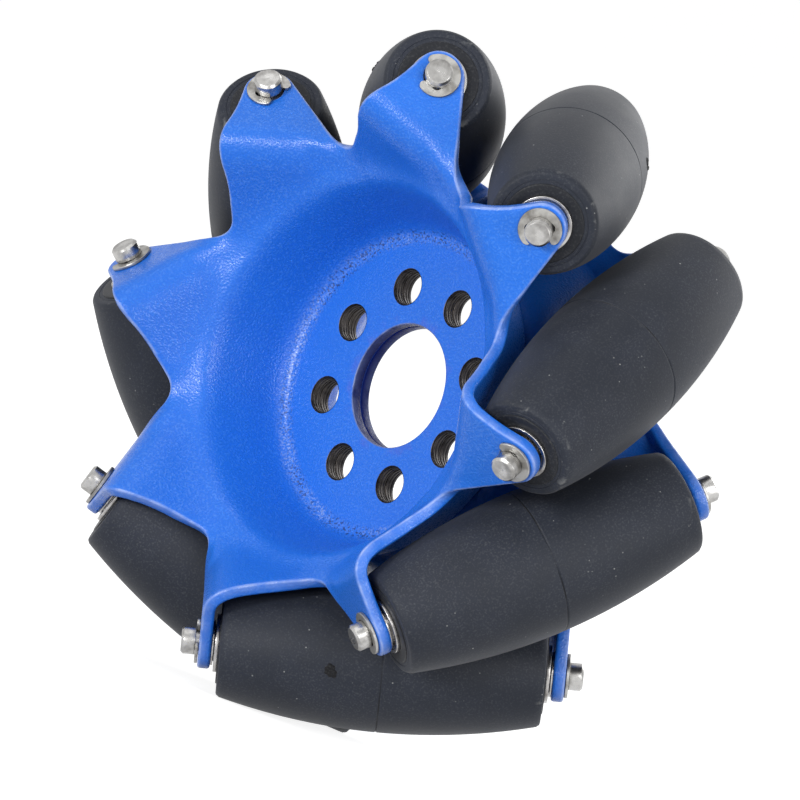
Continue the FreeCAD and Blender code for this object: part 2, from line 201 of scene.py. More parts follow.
@dataclass(frozen=True)
class PowderCoat:
    """Polyester powder coat on pressed steel: melted grains leave a fine orange peel under a soft gloss."""

    blue: str = "#1c6bd4"
    clouds: Patches = Patches("#1963ca", 14.0, 3.0, (0.0, 1.0, 0.0, 1.0))
    # The peel's crests are painted paler as painted glints, and are glossier. It is about 0.3 mm across,
    # drawn coarser so that it shows.
    painted_glint_crests: Patches = Patches("#4f8fe8", 0.46, 0.0, (0.5, 0.72, 0.0, 0.3))
    peel_depth_mm: float = 0.075
    roughness: Levels = (0.35, 0.65, 0.42, 0.24)
    ior: float = 1.5
    shine: float = 0.38
    # The bore's wall gets a dark navy as painted shade, and only the low shine of dry overspray.
    bore_painted_shade: str = "#071a5c"
    dry_shine: float = 0.06
    bore_wall_radii_mm: tuple[float, float] = (13.75, 14.0)
    # Tools leave purplish rub marks round the bore's rim. A ring's sizes are its middle and its reach.
    smudges: Patches = Patches("#5b56b4", 4.0, 4.0, (0.5, 0.75, 0.0, 0.45))
    smudged_ring_mm: tuple[float, float] = (14.1, 2.4)
    # The press rubs and pits the coat where the flat centre turns up into the wall, in some places more.
    press_marks: tuple[tuple[Patches, Levels], ...] = (
        (Patches("#87a1d6", 0.42, 1.0, (0.48, 0.66, 0.0, 0.8)), (0.36, 0.58, 0.25, 1.0)),
        (Patches("#16244c", 0.55, 1.0, (0.54, 0.63, 0.0, 0.8)), (0.62, 0.4, 0.25, 1.0)),
    )
    pressed_ring_mm: tuple[float, float] = (33.0, 2.2)
    press_change_mm: float = 17.0
    # The sheet's edges get a pale line: partly thin, worn coat, partly a painted highlight where the rounded
    # edge catches light.
    pale_edges: Patches = Patches("#b9c6e4", 3.0, 3.0, (0.3, 0.6, 0.2, 0.85))
    # Share of a ring's reach that is not yet faded.
    ring_core: float = 0.3

    def build(self) -> bpy.types.Material:
        """Makes the coat of both plates.

        Returns:
            The material.
        """
        material, tree, place = new_material("powder_coated_steel")
        flat = add_node(tree, "VectorMath", (place, (1.0, 1.0, 0.0)), operation="MULTIPLY").outputs[0]
        radius = add_node(tree, "VectorMath", (flat,), operation="LENGTH").outputs["Value"]
        coat, _ = self.clouds.laid_on(tree, place, self.blue)
        # Painted glints: the peel's crests turn paler.
        coat, peel = self.painted_glint_crests.laid_on(tree, place, coat)
        coat, _ = self.smudges.laid_on(tree, place, coat, self.ring(tree, radius, *self.smudged_ring_mm))
        bore = [edge * MM for edge in self.bore_wall_radii_mm]
        # Painted shade: the bore's wall turns dark navy.
        bore_shade_share = add_node(tree, "MapRange", (radius, *bore, 1.0, 0.0)).outputs[0]
        layers = {0: bore_shade_share, 6: coat, 7: linear(self.bore_painted_shade)}
        coat = add_node(tree, "Mix", layers, data_type="RGBA").outputs[2]
        pressed = self.ring(tree, radius, *self.pressed_ring_mm)
        pattern = {"Vector": place, "Scale": per_metre(self.press_change_mm), "Detail": 2.0}
        change = add_node(tree, "TexNoise", pattern).outputs[0]
        for marks, places in self.press_marks:
            share = add_node(tree, "MapRange", (change, *places)).outputs[0]
            coat, _ = marks.laid_on(tree, place, coat, share, pressed)
        # Painted highlight and wear: a pale line along the sheet's edges.
        edge = add_node(tree, "Attribute", attribute_name=EDGE_WEAR_AND_HIGHLIGHT).outputs["Fac"]
        coat, _ = self.pale_edges.laid_on(tree, place, coat, edge)
        bump = add_node(tree, "Bump", {"Height": peel, "Strength": 1.0, "Distance": self.peel_depth_mm * MM})
        shine = add_node(tree, "MapRange", (radius, *bore, self.dry_shine, self.shine)).outputs[0]
        shader = add_node(tree, "BsdfPrincipled", {
            "Base Color": coat, "Roughness": add_node(tree, "MapRange", (peel, *self.roughness)).outputs[0],
            "IOR": self.ior, "Specular IOR Level": shine, "Normal": bump.outputs[0]})
        add_node(tree, "OutputMaterial", {"Surface": shader.outputs[0]})
        return material

    def ring(self, tree: bpy.types.NodeTree, radius: Socket, middle_mm: float, reach_mm: float) -> Socket:
        """A ring-shaped mask about the plate's axis.

        Args:
            tree: Node tree of the coat.
            radius: Distance from the plate's axis.
            middle_mm: Radius of the ring's middle.
            reach_mm: Distance from there at which the mask has faded to 0.

        Returns:
            The mask.
        """
        away = add_node(tree, "Math", (radius, middle_mm * MM), operation="SUBTRACT").outputs[0]
        away = add_node(tree, "Math", (away,), operation="ABSOLUTE").outputs[0]
        fade = (away, self.ring_core * reach_mm * MM, reach_mm * MM, 1.0, 0.0)
        return add_node(tree, "MapRange", fade, interpolation_type="SMOOTHSTEP").outputs[0]


@dataclass(frozen=True)
class BareSteel:
    """Steel without paint: what the tool or the press left shows as fine lines and a matching gloss. Darker
    patches are partly stains and partly painted dark reflections.
    """

    name: str
    tone: str
    stain_and_reflection: str
    # Roughness where the steel is clean and where it is stained or painted with a dark reflection.
    roughness: tuple[float, float]
    # Tool marks are about 0.1 mm apart, drawn coarser so that they show.
    line_mm: float = 0.4
    line_depth_mm: float = 0.008
    line_waver: float = 1.5
    marks: ToolMarks = ToolMarks.FACED
    stain_and_reflection_mm: float = 2.5
    stain_and_reflection_levels: Levels = (0.4, 0.72, 0.0, 1.0)
    rough_levels: tuple[float, float] = (0.35, 0.7)

    def build(self) -> bpy.types.Material:
        """Makes the steel.

        Returns:
            The material.
        """
        material, tree, place = new_material(self.name)
        # Painted reflection: darker patches stand partly for stains, partly for dark surroundings mirrored
        # in the steel.
        stains_and_reflections = Patches(self.stain_and_reflection, self.stain_and_reflection_mm, 5.0, self.stain_and_reflection_levels)
        colour, stain_and_reflection = stains_and_reflections.laid_on(tree, place, self.tone)
        rough = add_node(tree, "MapRange", (stain_and_reflection, *self.rough_levels, *self.roughness)).outputs[0]
        if self.marks is ToolMarks.STAMPED:
            pattern = {"Vector": place, "Scale": per_metre(self.line_mm), "Detail": 3.0}
            lines = add_node(tree, "TexNoise", pattern)
        else:
            pattern = {"Vector": place, "Scale": per_metre(self.line_mm) * WAVE_TURN, "Detail": 2.0,
                       "Detail Scale": 2.0, "Distortion": self.line_waver}
            kind = "RINGS" if self.marks is ToolMarks.FACED else "BANDS"
            lines = add_node(tree, "TexWave", pattern, wave_type=kind, rings_direction="Z",
                             bands_direction="Z")
        bump = {"Height": lines.outputs["Fac"], "Strength": 1.0, "Distance": self.line_depth_mm * MM}
        shader = add_node(tree, "BsdfPrincipled", {
            "Base Color": colour, "Metallic": 1.0, "Roughness": rough,
            "Normal": add_node(tree, "Bump", bump).outputs[0]})
        add_node(tree, "OutputMaterial", {"Surface": shader.outputs[0]})
        return material


@dataclass(frozen=True)
class MouldedRubber:
    """Carbon-black rubber from a matt mould: dull, dusty, with pale specks and light scuffs."""

    name: str = "moulded_rubber"
    tone: str = "#1f232c"
    worn_tone: str = "#292d37"
    dust: str = "#b4b5b3"
    seam: str = "#08080a"
    # Use polishes the rubber unevenly, so its tone and roughness change slowly over it.
    wear_mm: float = 16.0
    wear_grit: float = 0.62
    worn: Levels = (0.42, 0.74, 0.0, 1.0)
    roughness: Levels = (0.3, 0.75, 0.5, 0.66)
    ior: float = 1.5
    shine: float = 0.22
    sheen: float = 0.05
    # The real grain is about 0.1 mm, drawn coarser so that it shows. Dust lies on its crests.
    grain_mm: float = 0.42
    grain_depth_mm: float = 0.02
    dusty_grain: Levels = (0.52, 0.74, 0.0, 0.075)
    dusty_places: Levels = (0.35, 0.7, 0.25, 1.0)
    # One cell in seven holds a pale speck. Its core is full, and its rim fades, in shares of the cell.
    speck_mm: float = 1.6
    speck_core: float = 0.078
    speck_rim: float = 0.13
    speck_choice: float = 0.86
    speck_strength: float = 0.6
    # Handling scuffs the edges of the rubber pale in places.
    scuff_mm: float = 3.0
    scuffs: Levels = (0.6, 0.7, 0.0, 0.32)
    # The mould leaves a broken dark seam round the middle, full at the first distance, gone at the second.
    seam_mm: tuple[float, float] = (0.084, 0.196)
    seam_strength: float = 0.9
    seam_places: Levels = (0.46, 0.56, 0.1, 1.0)

    def build(self) -> bpy.types.Material:
        """Makes the rubber.

        Returns:
            The material.
        """
        material, tree, place = new_material(self.name)
        pattern = {"Vector": place, "Scale": per_metre(self.wear_mm), "Detail": 6.0,
                   "Roughness": self.wear_grit}
        wear = add_node(tree, "TexNoise", pattern).outputs[0]
        worn, rough, dusty, broken = (
            add_node(tree, "MapRange", (wear, *levels)).outputs[0]
            for levels in (self.worn, self.roughness, self.dusty_places, self.seam_places))
        layers = {0: worn, 6: linear(self.tone), 7: linear(self.worn_tone)}
        colour = add_node(tree, "Mix", layers, data_type="RGBA").outputs[2]
        layers = {0: self.specks(tree, place), 6: colour, 7: linear(self.dust)}
        colour = add_node(tree, "Mix", layers, data_type="RGBA").outputs[2]
        dust = Patches(self.dust, self.grain_mm, 1.0, self.dusty_grain)
        colour, grain = dust.laid_on(tree, place, colour, dusty)
        edge = add_node(tree, "Attribute", attribute_name=EDGE_WEAR_AND_HIGHLIGHT).outputs["Fac"]
        colour, _ = Patches(self.dust, self.scuff_mm, 4.0, self.scuffs).laid_on(tree, place, colour, edge)
        along = add_node(tree, "SeparateXYZ", (place,)).outputs["Z"]
        along = add_node(tree, "Math", (along,), operation="ABSOLUTE").outputs[0]
        fade = (along, *(distance * MM for distance in self.seam_mm), self.seam_strength, 0.0)
        seam = add_node(tree, "MapRange", fade).outputs[0]
        seam = add_node(tree, "Math", (seam, broken), operation="MULTIPLY").outputs[0]
        layers = {0: seam, 6: colour, 7: linear(self.seam)}
        colour = add_node(tree, "Mix", layers, data_type="RGBA").outputs[2]
        relief = {"Height": grain, "Strength": 1.0, "Distance": self.grain_depth_mm * MM}
        bump = add_node(tree, "Bump", relief)
        shader = add_node(tree, "BsdfPrincipled", {
            "Base Color": colour, "Roughness": rough, "IOR": self.ior, "Specular IOR Level": self.shine,
            "Sheen Weight": self.sheen, "Sheen Roughness": 0.5, "Normal": bump.outputs[0]})
        add_node(tree, "OutputMaterial", {"Surface": shader.outputs[0]})
        return material

    def specks(self, tree: bpy.types.NodeTree, place: Socket) -> Socket:
        """A mask of the few pale specks.

        Args:
            tree: Node tree of the rubber.
            place: Coordinates of the piece.

        Returns:
            The mask.
        """
        cells = add_node(tree, "TexVoronoi", {"Vector": place, "Scale": per_metre(self.speck_mm)}).outputs
        chosen = add_node(tree, "SeparateColor", (cells["Color"],)).outputs[0]
        parts = [
            add_node(tree, "MapRange", inputs).outputs[0] for inputs in (
                (cells["Distance"], self.speck_core, self.speck_rim, 1.0, 0.0),
                (chosen, self.speck_choice, 1.0, 0.0, self.speck_strength))]
        return add_node(tree, "Math", parts, operation="MULTIPLY").outputs[0]


POWDER_COAT = PowderCoat()
# The bolt holes are cut after painting: bare steel given a dark tone, whose grooves catch thin lines of
# light.
DRILLED_STEEL = BareSteel("threaded_steel", "#45413f", "#1c1a1c", (0.45, 0.57), line_mm=0.8,
                          line_depth_mm=0.22, line_waver=0.2, marks=ToolMarks.THREADED)
# The lathe leaves faint rings on the bright ends of the pins.
TURNED_STEEL = BareSteel("turned_stainless_steel", "#b6b5b3", "#777573", (0.24, 0.36))
# Spring steel comes from the press greyer and duller than the pins.
STAMPED_STEEL = BareSteel("stamped_spring_steel", "#abaaa7", "#6d6a66", (0.36, 0.48), line_depth_mm=0.004,
                          marks=ToolMarks.STAMPED)
# Grinding gives bearings and washers an even, clean gloss.
GROUND_STEEL = BareSteel("ground_bearing_steel", "#b8b6b4", "#7f7b78", (0.24, 0.32))
TREAD_RUBBER = MouldedRubber()
# Torn rubber is rougher and darker. Neither it nor the nylon has a seam or specks that show.
PLAIN = {"speck_core": 0.03, "speck_rim": 0.05, "seam_mm": (0.006, 0.014)}
TORN_RUBBER = MouldedRubber("torn_rubber", "#0c0c0f", "#1b1c21", roughness=(0.3, 0.75, 0.69, 0.85),
                            grain_depth_mm=0.06, **PLAIN)
CORE_NYLON = MouldedRubber("moulded_nylon", "#15171c", "#1e2026", roughness=(0.3, 0.75, 0.39, 0.55),
                           grain_mm=0.5, **PLAIN)


# Mesh helpers

def on_circle(angles: np.ndarray) -> np.ndarray:
    """Points of the unit circle."""
    return np.stack([np.cos(angles), np.sin(angles)], 1)


def unit(vectors: np.ndarray) -> np.ndarray:
    """Vectors of length 1 in the same directions."""
    return vectors / np.linalg.norm(vectors, axis=-1, keepdims=True)


def smooth_step(share: np.ndarray) -> np.ndarray:
    """Rises from 0 to 1 with level ends."""
    share = np.clip(share, 0.0, 1.0)
    return share * share * (3 - 2 * share)


def sine_product(angles: np.ndarray, waves: Iterable[tuple[int, float]]) -> np.ndarray:
    """Product of sine waves, each given by how many go round a circle and where it starts."""
    return np.prod([np.sin(count * angles + start) for count, start in waves], axis=0)


def mesh_piece(name: str, points: np.ndarray, faces: Iterable[Sequence[int]],
               materials: Sequence[bpy.types.Material], place: Matrix, slots: Sequence[int] | None = None,
               wear: np.ndarray | None = None, crease_deg: float = 35.0) -> bpy.types.Object:
    """Makes a shaded mesh object.

    Args:
        name: Name of the piece.
        points: Vertices in millimetres, in the piece's own frame.
        faces: Vertex numbers of every face.
        materials: Materials of the piece.
        place: The piece's frame in the wheel's frame, in metres.
        slots: Material number of every face, all 0 if left out.
        wear: How worn the surface is at every vertex, from 0 to 1; on the plates' edges it also carries a
            painted highlight.
        crease_deg: Edges that bend more than this stay sharp.

    Returns:
        The object, linked to the scene.
    """
    mesh = bpy.data.meshes.new(name)
    own = np.asarray(points) * MM
    turn = np.array(place)
    mesh.from_pydata((own @ turn[:3, :3].T + turn[:3, 3]).tolist(), [], list(faces))
    mesh.attributes.new(OWN_PLACE, "FLOAT_VECTOR", "POINT").data.foreach_set("vector", own.ravel())
    if wear is not None:
        mesh.attributes.new(EDGE_WEAR_AND_HIGHLIGHT, "FLOAT", "POINT").data.foreach_set("value", wear)
    for material in materials:
        mesh.materials.append(material)
    if slots is not None:
        mesh.polygons.foreach_set("material_index", np.asarray(slots, dtype=np.int32))
    mesh.polygons.foreach_set("use_smooth", [True] * len(mesh.polygons))
    mesh.set_sharp_from_angle(angle=math.radians(crease_deg))
    piece = bpy.data.objects.new(name, mesh)
    bpy.context.scene.collection.objects.link(piece)
    return piece


def corner_arc(before: np.ndarray, corner: np.ndarray, after: np.ndarray, radius: float,
               step: float) -> np.ndarray:
    """Rounds one corner of an outline.

    Args:
        before: Point before the corner.
        corner: The sharp corner.
        after: Point after the corner.
        radius: Radius of the rounding.
        step: Longest distance between points of the arc.

    Returns:
        Points of the arc, from the first side to the second.
    """
    into, out = unit(before - corner), unit(after - corner)
    half = math.acos(max(-1.0, min(1.0, float(into @ out)))) / 2
    centre = corner + unit(into + out) * radius / math.sin(half)
    start = corner + into * radius / math.tan(half) - centre
    end = corner + out * radius / math.tan(half) - centre
    first = math.atan2(start[1], start[0])
    sweep = (math.atan2(end[1], end[0]) - first + math.pi) % math.tau - math.pi
    count = max(2, int(abs(sweep) * radius / step) + 1)
    return centre + radius * on_circle(first + sweep * np.linspace(0, 1, count + 1))


def rounded_loop(corners: Corners, step: float) -> Profile:
    """Closes an outline through corners that each have their own rounding.

    Args:
        corners: Two coordinates and a rounding radius for every corner.
        step: Longest distance between points of an arc.

    Returns:
        Points of the closed outline.
    """
    points: Profile = []
    spots = [np.array(corner[:2]) for corner in corners]
    for number, (corner, spot) in enumerate(zip(corners, spots)):
        if corner[2] <= 0:
            points.append(tuple(spot))
            continue
        after = spots[(number + 1) % len(spots)]
        points += [tuple(point) for point in corner_arc(spots[number - 1], spot, after, corner[2], step)]
    return points


def both_ends(front: Corners) -> Corners:
    """Corners of a whole section whose rear end mirrors the given front end."""
    return [(radius, -height, rounding) for radius, height, rounding in reversed(front)] + front


def grid_faces(rows: int, columns: int, closed: bool) -> list[tuple[int, ...]]:
    """Faces of a grid of points whose rows are closed loops.

    Args:
        rows: Number of rows of points.
        columns: Number of points in a row.
        closed: True if the last row meets the first. Otherwise each of the two is filled.

    Returns:
        Vertex numbers of every face.
    """
    faces = []
    for row in range(rows if closed else rows - 1):
        low, high = row * columns, (row + 1) % rows * columns
        for column in range(columns):
            after = (column + 1) % columns
            faces.append((low + column, low + after, high + after, high + column))
    if not closed:
        faces += [tuple(reversed(range(columns))), tuple(range((rows - 1) * columns, rows * columns))]
    return faces


def turned(profile: Profile, segments: int) -> Mesh:
    """Turns a closed profile of radius and height about Z.

    Args:
        profile: Points of the section, anticlockwise with the radius to the right.
        segments: Number of flats round the circle.

    Returns:
        Points and faces.
    """
    circle = on_circle(np.linspace(0, math.tau, segments, endpoint=False))
    section = np.array(profile)
    points = np.zeros((len(section), segments, 3))
    points[:, :, :2] = section[:, None, :1] * circle
    points[:, :, 2] = section[:, 1:]
    return points.reshape(-1, 3), grid_faces(len(section), segments, True)


def repeated(points: np.ndarray, faces: Sequence[Sequence[int]], places: Sequence[Matrix]) -> Mesh:
    """Copies a mesh to several places.

    Args:
        points: Points of one copy, in millimetres.
        faces: Faces of one copy.
        places: Where the copies stand, in metres.

    Returns:
        Points and faces of all copies.
    """
    all_points, all_faces = [], []
    for number, place in enumerate(places):
        turn = np.array(place)
        all_points.append(points @ turn[:3, :3].T + turn[:3, 3] / MM)
        all_faces += [tuple(corner + number * len(points) for corner in face) for face in faces]
    return np.concatenate(all_points), all_faces


def dress(piece: bpy.types.Object, body: str, slot: str, *nodes: str) -> None:
    """Lets a piece move with a body and stand for the solids that it shows.

    Args:
        piece: The finished piece.
        body: Name of the body that carries it.
        slot: Material slot of the record. It is not used.
        *nodes: Solids that it replaces.
    """
    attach(piece, body)
    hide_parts(*nodes)
    log.info("%s rides on %s for %s", piece.name, body, ", ".join(nodes))


# Places of the rollers

@dataclass(frozen=True)
class RollerPlace:
    """Where one roller sits, read from its joint."""

    number: int
    centre: Vector
    axis: Vector

    @property
    def name(self) -> str:
        """The roller's name, which is also its body's."""
        return f"roller_{self.number}"

    @property
    def radius(self) -> float:
        """Distance of the roller's middle from the wheel's axle, in millimetres."""
        return self.centre.length / MM

    @property
    def lean(self) -> float:
        """Angle between the roller's axle and the wheel's, in radians."""
        return self.axis.angle(Vector((0, -1, 0)))

    def matrix(self, side: Side = Side.FRONT, along: float = 0.0, spin: float = 0.0) -> Matrix:
        """The roller's frame: X away from the wheel's axle, Z along the pin towards the chosen side.

        Args:
            side: End of the roller that Z points to.
            along: Distance along the pin from the roller's middle, in millimetres.
            spin: Turn about the pin, in radians.

        Returns:
            The frame in metres.
        """
        out = self.centre.normalized()
        axes = Matrix((out, self.axis.cross(out), self.axis)).transposed().to_4x4()
        middle = Matrix.Translation(self.centre) @ axes @ side.turn()
        return middle @ Matrix.Translation((0, 0, along * MM)) @ Matrix.Rotation(spin, 4, "Z")


def roller_places() -> list[RollerPlace]:
    """Reads the rollers' places from the frame's joints."""
    places = []
    for number, joint in enumerate(frame["joints"], 1):
        places.append(RollerPlace(number, Vector(joint["pos_m"]), Vector(joint["axis"]).normalized()))
    return places


# Pressed plate

def soft_min(first: np.ndarray, second: np.ndarray, reach: np.ndarray | float) -> np.ndarray:
    """The lower of two surfaces, rounded where they come within reach of each other."""
    blend = np.maximum(reach - np.abs(first - second), 0.0)
    return np.minimum(first, second) - blend ** 2 / (4 * reach)


def soft_max(first: np.ndarray, second: np.ndarray, reach: np.ndarray | float) -> np.ndarray:
    """The higher of two surfaces, rounded where they come within reach of each other."""
    return -soft_min(-first, -second, reach)


def inside(points: np.ndarray, loops: Sequence[np.ndarray]) -> np.ndarray:
    """Tells which points lie inside an outer loop and outside the holes in it.

    Args:
        points: Points to test.
        loops: Corners of the outer loop and of every hole.

    Returns:
        True for every point inside.
    """
    within = np.zeros(len(points), dtype=bool)
    for loop in loops:
        for start, end in zip(loop, np.roll(loop, -1, 0)):
            crosses = (start[1] > points[:, 1]) != (end[1] > points[:, 1])
            if crosses.any():
                at = start[0] + (points[:, 1] - start[1]) * (end[0] - start[0]) / (end[1] - start[1] + TINY)
                within ^= crosses & (points[:, 0] < at)
    return within


@dataclass
class PressedPlate:
    """One plate pressed from sheet: flat centre, steep wall, flared rim and lugs folded square to the pins.

    It is worked out as a height over the wheel's plane, with the lug numbered 0 on +X.
    """

    roller_circle: float
    lean: float
    count: int
    sheet: float = 2.7
    bore_radius: float = 13.7
    bolt_circle: float = 22.0
    bolt_hole: float = 3.9
    flat_radius: float = 34.5
    wall_deg: float = 20.0
    flare_deg: float = 60.0
    rim_radius: float = 48.0
    rim_height: float = 24.5
    lug_tip: float = 5.8
    lug_taper_deg: float = 42.0
    lug_hole: float = 3.1
    fold_low: float = 35.9
    fold_high: float = 51.5
    # Reach of the rounding in height, where two surfaces of the press tool meet.
    flat_reach: float = 5.2
    shoulder_reach: float = 3.2
    crease_reach: float = 2.6
    fold_reach: float = 11.0
    # The notch between two lugs is round. Beside it the fold runs out tighter, and the sheet is evened out.
    notch_radius: float = 6.5
    notch_shift: float = 2.7
    notch_reach: float = 3.5
    notch_ease: float = 7.0
    notch_even: float = 3.0
    even_shares: tuple[float, ...] = (0.5, 1.0)
    even_directions: int = 8
    notch_blend_deg: float = 4.0
    # Beyond its straight edge the lug would run level, so that the rim meets it.
    edge_reach: float = 0.5
    fold_rounding: float = 28.0
    normal_reach: float = 0.8
    edge_rounding: float = 0.6
    hole_rounding: float = 0.3
    edge_degs: tuple[float, ...] = (30.0, 60.0, 90.0)
    # Wear of the coat, with a painted highlight, on the rows of points round an edge, from the front to the
    # back.
    edge_wear_and_highlight: tuple[float, ...] = (0.4, 0.65, 0.25, 0.0, 0.0, 0.0)
    crease_deg: float = 60.0
    # Fineness of the mesh, and of the table of lengths along the dish.
    grid: float = 1.0
    edge_step: float = 0.6
    tip_step_deg: float = 6.0
    notch_points: int = 14
    hole_points: int = 36
    table_points: int = 3000
    table_reach: float = 1.3
    merge_reach: float = 1e-6

    def __post_init__(self) -> None:
        """Works out the corners that the surfaces and the outline share."""
        taper = math.radians(self.lug_taper_deg)
        self.pitch = math.tau / self.count
        self.low_corner = self.on_lug(self.fold_low - self.roller_circle, -self.lug_tip)
        high_x = self.fold_high - self.roller_circle
        self.high_corner = self.on_lug(high_x, (self.lug_tip - math.sin(taper) * high_x) / math.cos(taper))
        rim_corner = np.array([self.rim_radius, 0.0, self.rim_height])
        normal = np.cross(self.high_corner - self.low_corner, rim_corner - self.low_corner)
        self.flank_slope = -normal[:2] / normal[2]
        self.notch_before = self.low_corner[:2] + np.array([self.notch_shift, -self.notch_radius])
        self.notch_after = self.rotated(self.notch_before, self.pitch)
        self.notch_angle = math.atan2(self.notch_after[1], self.notch_after[0])
        radii = np.linspace(0.0, self.roller_circle * self.table_reach, self.table_points)
        rise = np.gradient(self.petal(radii, np.full_like(radii, -self.pitch / 2), False), radii)
        steps = np.hypot(1.0, (rise[1:] + rise[:-1]) / 2) * np.diff(radii)
        self.spread_table = (radii, np.concatenate([[0.0], np.cumsum(steps)]))

    def on_lug(self, out: float, across: float) -> np.ndarray:
        """A point of the lug's front face, at distances from the pin: outwards and across the lug."""
        sin, cos = math.sin(self.lean), math.cos(self.lean)
        return np.array([self.roller_circle + out, cos * across - sin * LUG_FRONT,
                         sin * across + cos * LUG_FRONT])

    def rotated(self, point: np.ndarray, angle: float) -> np.ndarray:
        """A point of the plan turned about the plate's axis."""
        sin, cos = math.sin(angle), math.cos(angle)
        return np.array([cos * point[0] - sin * point[1], sin * point[0] + cos * point[1]])

    def all_round(self, points: np.ndarray) -> list[np.ndarray]:
        """Copies of points of the plan, turned to every lug."""
        turns = [number * self.pitch for number in range(self.count)]
        return [np.array([self.rotated(point, turn) for point in points]) for turn in turns]

    def notch_start(self) -> float:
        """Angle on the circle of the notch after a lug where the lug's free edge runs into it."""
        to_corner = self.high_corner[:2] - self.notch_after
        tangent = math.acos(self.notch_radius / np.linalg.norm(to_corner))
        return math.atan2(to_corner[1], to_corner[0]) - tangent

    def notch_arc(self) -> np.ndarray:
        """The round notch before a lug in plan, from the last one's free edge to its own straight edge."""
        start = (self.notch_start() - self.pitch) % math.tau
        angles = np.linspace(start, math.pi / 2, self.notch_points)
        return self.notch_before + self.notch_radius * on_circle(angles)

    def petal(self, radius: np.ndarray, angle: np.ndarray, with_lug: bool = True) -> np.ndarray:
        """Height of the front surface round one lug.

        Args:
            radius: Distances from the plate's axis.
            angle: Angles from the lug's own direction.
            with_lug: False leaves only the dish.

        Returns:
            Heights.
        """
        wall = self.sheet + (radius - self.flat_radius) / math.tan(math.radians(self.wall_deg))
        rim = self.rim_height + (radius - self.rim_radius) / math.tan(math.radians(self.flare_deg))
        if with_lug:
            x, y = radius * np.cos(angle), radius * np.sin(angle)
            ease = self.away_from_notch(x, y)
            flank = self.low_corner[2] + self.flank_slope[0] * (x - self.low_corner[0])
            flank += self.flank_slope[1] * (y - self.low_corner[1])
            across = soft_max(y, np.full_like(y, self.low_corner[1]), self.edge_reach)
            lug = (LUG_FRONT + math.sin(self.lean) * across) / math.cos(self.lean)
            fold = self.notch_reach + (self.fold_reach - self.notch_reach) * ease
            crease = self.notch_reach + (self.crease_reach - self.notch_reach) * ease
            rim = soft_min(soft_max(rim, flank, crease), lug, fold)
        floor = np.full_like(radius, self.sheet)
        return soft_max(floor, soft_min(wall, rim, self.shoulder_reach), self.flat_reach)

    def away_from_notch(self, x: np.ndarray, y: np.ndarray) -> np.ndarray:
        """Rises from 0 at the edge of the notches beside the first lug to 1 away from them."""
        notches = (self.notch_after, self.notch_before)
        to_notch = np.minimum(*(np.hypot(x - spot[0], y - spot[1]) for spot in notches))
        return smooth_step((to_notch - self.notch_radius) / self.notch_ease)

    def before_notch(self, x: np.ndarray, y: np.ndarray) -> np.ndarray:
        """Angles of points in plan from the notch that follows them, within one pitch."""
        return (np.arctan2(y, x) - self.notch_angle) % self.pitch - self.pitch

    def height(self, x: np.ndarray, y: np.ndarray) -> np.ndarray:
        """Heights of the front surface over points in plan, evened out beside the notches."""
        radius, angle = np.hypot(x, y), self.before_notch(x, y) + self.notch_angle
        reach = self.notch_even * (1 - self.away_from_notch(radius * np.cos(angle), radius * np.sin(angle)))
        total = self.folded_height(x, y)
        for share in self.even_shares:
            shift = share * reach
            for turn in np.linspace(0, math.tau, self.even_directions, endpoint=False):
                total = total + self.folded_height(x + shift * math.cos(turn), y + shift * math.sin(turn))
        return total / (len(self.even_shares) * self.even_directions + 1)

    def folded_height(self, x: np.ndarray, y: np.ndarray) -> np.ndarray:
        """Heights of the front surface over points in plan as the folds alone give it."""
        radius, angle = np.hypot(x, y), self.before_notch(x, y)
        to_next = np.where(angle > -self.pitch / 2, -self.pitch, self.pitch)
        own = self.petal(radius, angle + self.notch_angle)
        beside = self.petal(radius, angle + self.notch_angle + to_next)
        gap = np.degrees(np.minimum(-angle, angle + self.pitch))
        share = 0.5 * (1 - smooth_step(gap / self.notch_blend_deg))
        return own * (1 - share) + beside * share

    def surface(self, plan: np.ndarray) -> tuple[np.ndarray, np.ndarray]:
        """Points of the front surface over the plan, and their normals evened out over a short reach."""
        x, y = plan[:, 0], plan[:, 1]
        reach = self.normal_reach
        slope_x = (self.height(x + reach, y) - self.height(x - reach, y)) / (2 * reach)
        slope_y = (self.height(x, y + reach) - self.height(x, y - reach)) / (2 * reach)
        normals = unit(np.stack([-slope_x, -slope_y, np.ones_like(x)], 1))
        return np.stack([x, y, self.height(x, y)], 1), normals

    def outline(self) -> np.ndarray:
        """The plate's outer edge in plan, anticlockwise."""
        tip_end = 90.0 - self.lug_taper_deg
        turns = np.radians([*np.arange(-90.0, tip_end, self.tip_step_deg), tip_end])
        tip = np.array([self.on_lug(*spot)[:2] for spot in self.lug_tip * on_circle(turns)])
        free_end = self.rotated(self.notch_arc()[0], self.pitch)
        fold = corner_arc(tip[-1], self.high_corner[:2], free_end, self.fold_rounding, self.edge_step)
        petal = np.concatenate([self.notch_arc(), tip, fold])
        return self.resampled(np.concatenate(self.all_round(petal)))

    def resampled(self, loop: np.ndarray) -> np.ndarray:
        """A closed loop with even steps between its points."""
        closed = np.vstack([loop, loop[:1]])
        length = np.concatenate([[0.0], np.cumsum(np.linalg.norm(np.diff(closed, axis=0), axis=1))])
        places = np.linspace(0.0, length[-1], int(length[-1] / self.edge_step), endpoint=False)
        return np.stack([np.interp(places, length, closed[:, axis]) for axis in (0, 1)], 1)

    def circle(self, centre: tuple[float, float], radius: float, squeeze: float = 1.0) -> np.ndarray:
        """A hole's edge in plan, clockwise, with the share of its radius that a slanted lug leaves."""
        count = max(self.hole_points, int(math.tau * radius / self.edge_step))
        angles = -np.linspace(0, math.tau, count, endpoint=False)
        return np.array(centre) + on_circle(angles) * (radius, radius * squeeze)

